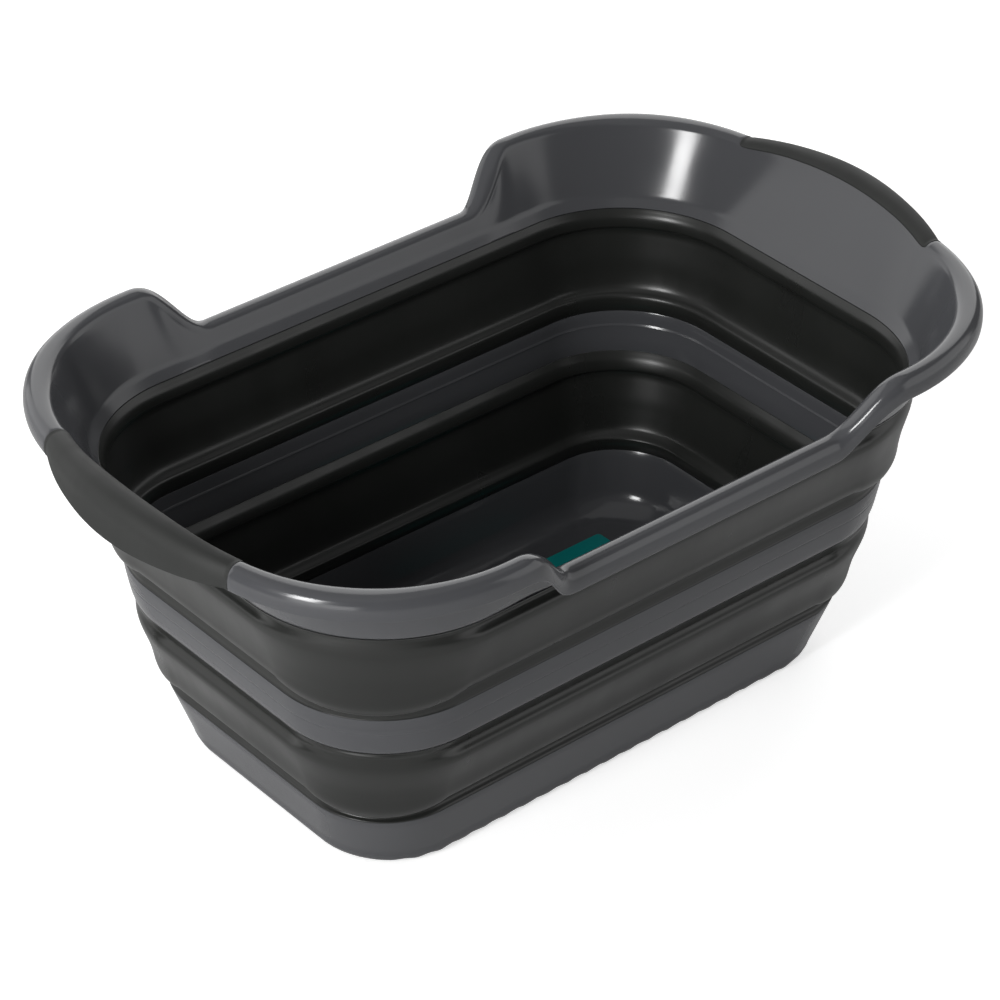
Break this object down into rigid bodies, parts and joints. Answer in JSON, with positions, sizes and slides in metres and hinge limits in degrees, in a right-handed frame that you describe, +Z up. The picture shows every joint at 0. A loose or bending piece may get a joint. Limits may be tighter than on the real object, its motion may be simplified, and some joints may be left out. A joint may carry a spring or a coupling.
{
  "type": "collapsible foot spa basin",
  "caption": "Oblong collapsible tub with scooped sides, two folding bellows, a stiff base, middle ring and rim, and a soft grip at each end.",
  "frame": {"origin": "centre of the base tray's underside, on the plane it stands on", "axes": "+Z up, +X along the long side towards right_grip, +Y across the tub"},
  "size_m": [0.6102, 0.3838, 0.2713],
  "materials": {
    "rigid_shell": "glossy moulded polypropylene",
    "soft_bellows": "satin thermoplastic elastomer",
    "grip": "satin thermoplastic elastomer",
    "label": "blank printed film"
  },
  "bodies": {
    "base": {"base_tray": "rigid_shell", "floor_label": "label"},
    "ring": {"middle_ring": "rigid_shell", "lower_bellows": "soft_bellows"},
    "rim": {"rim_frame": "rigid_shell", "left_grip": "grip", "right_grip": "grip", "upper_bellows": "soft_bellows"}
  },
  "joints": [
    {"name": "lower_fold", "type": "slide", "parent": "base", "child": "ring", "axis": [0, 0, 1], "range_m": [-0.096, 0], "deforming": ["lower_bellows"]},
    {"name": "upper_fold", "type": "slide", "parent": "ring", "child": "rim", "axis": [0, 0, 1], "range_m": [-0.096, 0], "deforming": ["upper_bellows"]}
  ]
}
